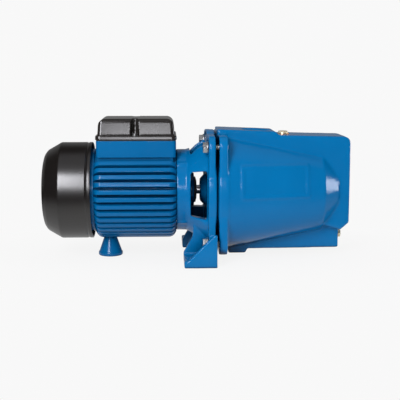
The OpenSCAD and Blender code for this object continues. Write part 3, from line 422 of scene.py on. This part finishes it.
# Terminal block, studs and gland
# A moulded cream block with brass studs inside the box, and a black nylon gland with its
# nut in the far wall, ready for the supply cable.
cream = Finish("cream_moulding")
mottle = cream.noise(0.002, detail=3.0)
cream.shade(
    Base_Color=cream.mix(mottle, (0.55, 0.50, 0.38, 1), (0.68, 0.63, 0.50, 1)),
    Roughness=0.4 + 0.15 * mottle,
    Normal=cream.relief(mottle, 0.00002),
)
dress(cream, "terminal_block")

black = Finish("black_nylon")
pore = black.noise(0.0007, detail=3.0)
black.shade(
    Base_Color=black.mix(pore, (0.012, 0.012, 0.013, 1), (0.022, 0.022, 0.023, 1)),
    Roughness=0.38 + 0.14 * pore,
    Normal=black.relief(pore, 0.00003),
)
dress(black, "diffuser", "venturi_tube", "cable_gland", "gland_nut")

# Terminal cover
# A glossy black moulding with generous round corners and a lip, and a pocket on each long
# side where its screw goes down into the box.
gloss = Finish("gloss_black_plastic")
wave = gloss.noise(0.02)
fleck = gloss.noise(0.0009)
gloss.shade(
    Base_Color=gloss.mix(wave, (0.013, 0.0115, 0.0105, 1), (0.019, 0.0165, 0.015, 1)),
    Roughness=0.15 + 0.05 * fleck,
    Normal=gloss.relief(0.6 * wave + 0.03 * fleck, 0.00006),
)


def melt(obj, voxel, passes, lumps=0.0):
    """Skins a piece afresh and lets its edges run round, as in a mould, with some lumps."""
    skin = obj.modifiers.new("skin", "REMESH")
    skin.mode = "VOXEL"
    skin.voxel_size = voxel
    skin.use_smooth_shade = True
    run = obj.modifiers.new("run", "SMOOTH")
    run.factor = 0.5
    run.iterations = passes
    if lumps:
        clouds = bpy.data.textures.new(obj.name + "_lumps", "CLOUDS")
        clouds.noise_scale = 0.014
        sand = obj.modifiers.new("sand", "DISPLACE")
        sand.texture = clouds
        sand.texture_coords = "LOCAL"
        sand.strength = lumps
        sand.mid_level = 0.5
    settle(obj)


lid_low, lid_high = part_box("terminal_cover")
lid_middle = (lid_low[0] + lid_high[0]) / 2
draft = math.tan(math.radians(9))
end_share = 0.4
shape = solid_of("terminal_cover")
for vertex in shape.verts:
    rise = vertex.co.z - lid_low[2]
    vertex.co.x -= math.copysign(rise * draft * end_share, vertex.co.x - lid_middle)
    vertex.co.y -= math.copysign(rise * draft, vertex.co.y)
cover = make("terminal_cover_moulded", shape, gloss, stands_for=["terminal_cover"])
melt(cover, 0.0008, 3)

# Lantern bracket
# One iron casting: a neck with the front bearing, three windows, a round flange with four
# lugs, and two legs with pockets for the foot bolts. The enamel lies over the sand skin.
# The first colour is near-black painted shade for the casting's creases and the insides of the bracket's
# windows.
cast_paint = enamel("blue_enamel_on_iron", 0.010, 0.00024, (0.0, 0.012, 0.042, 1),
                    (0.0, 0.116, 0.300, 1), (0.0, 0.140, 0.354, 1))
bracket = make("bracket_cast", solid_of("bracket"), cast_paint, stands_for=["bracket"])
melt(bracket, 0.0012, 8, lumps=0.0003)

# Shaft seal, impeller and ejector
# A ceramic seat and a sprung carbon head seal the shaft. The brass impeller runs in a
# black diffuser, and a nozzle and a venturi lift the water. None of it shows outside.
ceramic = Finish("white_ceramic")
haze = ceramic.noise(0.002)
ceramic.shade(
    Base_Color=ceramic.mix(haze, (0.72, 0.70, 0.64, 1), (0.80, 0.78, 0.73, 1)),
    Roughness=0.18 + 0.1 * haze,
)
dress(ceramic, "seal_seat")

carbon = Finish("grey_carbon")
soot = carbon.noise(0.0015, detail=3.0)
carbon.shade(
    Base_Color=carbon.mix(soot, (0.020, 0.020, 0.022, 1), (0.045, 0.045, 0.048, 1)),
    Roughness=0.45 + 0.2 * soot,
    Normal=carbon.relief(soot, 0.00003),
)
dress(carbon, "seal_head")

brass = Finish("pale_brass")
tarnish = brass.noise(0.003, detail=3.0)
brass.shade(
    Base_Color=brass.mix(tarnish, (0.62, 0.44, 0.19, 1), (0.86, 0.69, 0.40, 1)),
    Metallic=1.0,
    Roughness=0.18 + 0.18 * tarnish,
    Normal=brass.relief(tarnish, 0.00002),
)
dress(brass, "impeller", "nozzle", "terminal_studs")

# Pump body
# The large iron casting: a tapering round bowl, a spine above it with both ports, and a rib
# below with the drain. It is bolted to the bracket's flange on an O-ring.
body_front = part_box("pump_body")[1][0]
thread_crest = 0.01515
thread_root = 0.0166
suction_axis = Vector((0, 0, shaft_height + 0.035))
delivery_axis = Vector((0.082, 0, 0))


def widen(shape, axis, along):
    """Opens a plain port to the root of its thread."""
    for vertex in shape.verts:
        arm = vertex.co - axis
        arm[along] = 0
        if abs(arm.length - thread_crest) < 0.00005:
            vertex.co += arm * (thread_root / thread_crest - 1)


shape = solid_of("pump_body")
widen(shape, suction_axis, 0)
widen(shape, delivery_axis, 2)
body = make("pump_body_cast", shape, cast_paint, stands_for=["pump_body"])
melt(body, 0.0017, 2, lumps=0.0003)

# Port threads
# Parallel pipe threads of one inch, cut in the casting after it was painted, so they show
# bare grey iron with a little cutting oil.
iron = Finish("cut_iron")
chatter = iron.noise(0.0012, detail=3.0)
iron.shade(
    Base_Color=iron.mix(chatter, (0.16, 0.16, 0.165, 1), (0.30, 0.30, 0.305, 1)),
    Metallic=1.0,
    Roughness=0.32 + 0.2 * chatter,
    Normal=iron.relief(chatter, 0.00003),
)


def thread(shape, inner, outer, back, pitch, low, turns, steps=48):
    """Spins a zigzag with a straight back about Z, rising by one pitch, and closes its ends."""
    zigzag = []
    for half in range(2 * turns + 1):
        zigzag.append(shape.verts.new((outer if half % 2 else inner, 0, low + half * pitch / 2)))
    zigzag.append(shape.verts.new((back, 0, low + turns * pitch)))
    zigzag.append(shape.verts.new((back, 0, low)))
    edges = [shape.edges.new((a, b)) for a, b in zip(zigzag, zigzag[1:] + zigzag[:1])]
    bmesh.ops.spin(shape, geom=zigzag + edges, cent=(0, 0, 0), axis=(0, 0, 1), dvec=(0, 0, pitch / steps),
                   angle=2 * math.pi, steps=steps, use_merge=False, use_duplicate=False)
    bmesh.ops.remove_doubles(shape, verts=shape.verts, dist=merge_within)
    bmesh.ops.holes_fill(shape, edges=[e for e in shape.edges if e.is_boundary], sides=0)
    bmesh.ops.recalc_face_normals(shape, faces=shape.faces)
    return shape


pipe_pitch = 0.002309
upright = Matrix.Identity(4)
to_front = Matrix.Rotation(math.pi / 2, 4, "Y")
for name, axis, turn, low in (
    ("suction_thread", suction_axis, to_front, body_front - 0.0185),
    ("delivery_thread", delivery_axis, upright, shaft_height + 0.0630),
):
    shape = thread(bmesh.new(), thread_crest, thread_root, thread_root + 0.0004, pipe_pitch, low, 6)
    bmesh.ops.transform(shape, matrix=Matrix.Translation(axis) @ turn, verts=shape.verts)
    make(name, shape, iron, smooth_below=20)

# Flange bolts and washers
# Four M8 hexagon bolts, cold headed with a turned crown and a rolled thread, with a flat
# washer under each head. All are zinc-plated and draw the body onto the bracket.
bolt_low, bolt_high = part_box("flange_bolts")
washer_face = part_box("flange_washers")[0][0]
bolt_offset = 0.063
places = []
for side in (-bolt_offset, bolt_offset):
    for rise in (-bolt_offset, bolt_offset):
        seat = Matrix.Translation((washer_face, side, shaft_height + rise))
        places.append(seat @ Matrix.Rotation(-math.pi / 2, 4, "Y"))


def hex_head(shape, across, height, crown):
    """A hexagon head on Z = 0 whose outer face is turned to a cone at its corners."""
    radius = across / math.sqrt(3)
    bmesh.ops.create_cone(shape, cap_ends=True, segments=6, radius1=radius, radius2=radius, depth=height,
                          matrix=Matrix.Translation((0, 0, height / 2)))
    cap = max(shape.faces, key=lambda face: face.calc_center_median().z)
    rim = list(cap.verts)
    bmesh.ops.inset_individual(shape, faces=[cap], thickness=across * 0.09)
    bmesh.ops.translate(shape, vec=(0, 0, -crown), verts=rim)
    bmesh.ops.bevel(shape, geom=list(shape.edges), offset=0.00025, offset_type="OFFSET", segments=2,
                    profile=0.5, affect="EDGES", clamp_overlap=True, material=-1)
    return shape


def repeat(one, places):
    """Copies a shape to several places."""
    mesh = bpy.data.meshes.new("copy")
    one.to_mesh(mesh)
    one.free()
    every = bmesh.new()
    for place in places:
        known = len(every.verts)
        every.from_mesh(mesh)
        every.verts.ensure_lookup_table()
        bmesh.ops.transform(every, matrix=place, verts=every.verts[known:])
    bpy.data.meshes.remove(mesh)
    return every


shank = bolt_high[0] - washer_face
bolt = hex_head(bmesh.new(), 0.013, washer_face - bolt_low[0], 0.0006)
bmesh.ops.create_cone(bolt, cap_ends=True, segments=32, radius1=0.0033, radius2=0.0034, depth=shank + 0.001,
                      matrix=Matrix.Translation((0, 0, 0.001 - (shank + 0.001) / 2)))
thread(bolt, 0.0033, 0.004, 0.0030, 0.00125, 0.0006 - shank, int((shank - 0.002) / 0.00125), steps=24)
make("flange_bolts_headed", repeat(bolt, places), zinc, stands_for=["flange_bolts"])

washer = bmesh.new()
corners = ((0.0042, 0), (0.008, 0), (0.008, -0.0016), (0.0042, -0.0016))
section = [washer.verts.new((x, 0, z)) for x, z in corners]
washer.faces.new(section)
bmesh.ops.bevel(washer, geom=section, offset=0.0003, offset_type="OFFSET", segments=2, profile=0.5,
                affect="VERTICES", clamp_overlap=True, material=-1)
whole = washer.faces[:] + washer.edges[:] + washer.verts[:]
bmesh.ops.spin(washer, geom=whole, cent=(0, 0, 0), axis=(0, 0, 1), angle=2 * math.pi, steps=48,
               use_merge=True, use_duplicate=False)
bmesh.ops.delete(washer, geom=[f for f in washer.faces if len(f.verts) != 4], context="FACES_ONLY")
bmesh.ops.recalc_face_normals(washer, faces=washer.faces)
make("flange_washers_stamped", repeat(washer, places), zinc, stands_for=["flange_washers"])

# Priming and drain plugs
# Two pale brass plugs with a hexagon head and a collar, screwed down on copper washers. The
# larger one is taken out to fill the pump, the smaller one to drain it.
pale = Finish("pale_yellow_plating")
smear = pale.noise(0.003, detail=3.0)
pale.shade(
    Base_Color=pale.mix(smear, (0.80, 0.66, 0.40, 1), (0.94, 0.84, 0.60, 1)),
    Metallic=0.55,
    Roughness=0.24 + 0.14 * smear,
    Normal=pale.relief(smear, 0.00002),
)


def plug(name, width, head, seat, turn):
    """A plug whose washer face is at a place, with its head towards the turned Z."""
    shape = hex_head(bmesh.new(), width + 0.002, head + 0.001, 0.0005)
    collar = width / 2 + 0.0018
    bmesh.ops.create_cone(shape, cap_ends=True, segments=48, radius1=collar, radius2=collar - 0.0002,
                          depth=0.0012, matrix=Matrix.Translation((0, 0, 0.0006)))
    bmesh.ops.create_cone(shape, cap_ends=True, segments=32, radius1=width / 2 - 0.0012,
                          radius2=width / 2 - 0.0006, depth=0.0095,
                          matrix=Matrix.Translation((0, 0, -0.0042)))
    thread(shape, width / 2 - 0.0007, width / 2, width / 2 - 0.0012, 0.001, -0.0088, 7, steps=32)
    bmesh.ops.transform(shape, matrix=Matrix.Translation(seat) @ turn, verts=shape.verts)
    make(name + "_turned", shape, pale, body=name, stands_for=[name])


priming_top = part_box("priming_plug")[1][2]
plug("priming_plug", 0.010, 0.0024, (0.118, 0, priming_top - 0.0034), upright)
drain_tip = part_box("drain_plug")[1][0]
plug("drain_plug", 0.008, 0.0030, (drain_tip - 0.0040, 0, 0.028), to_front)
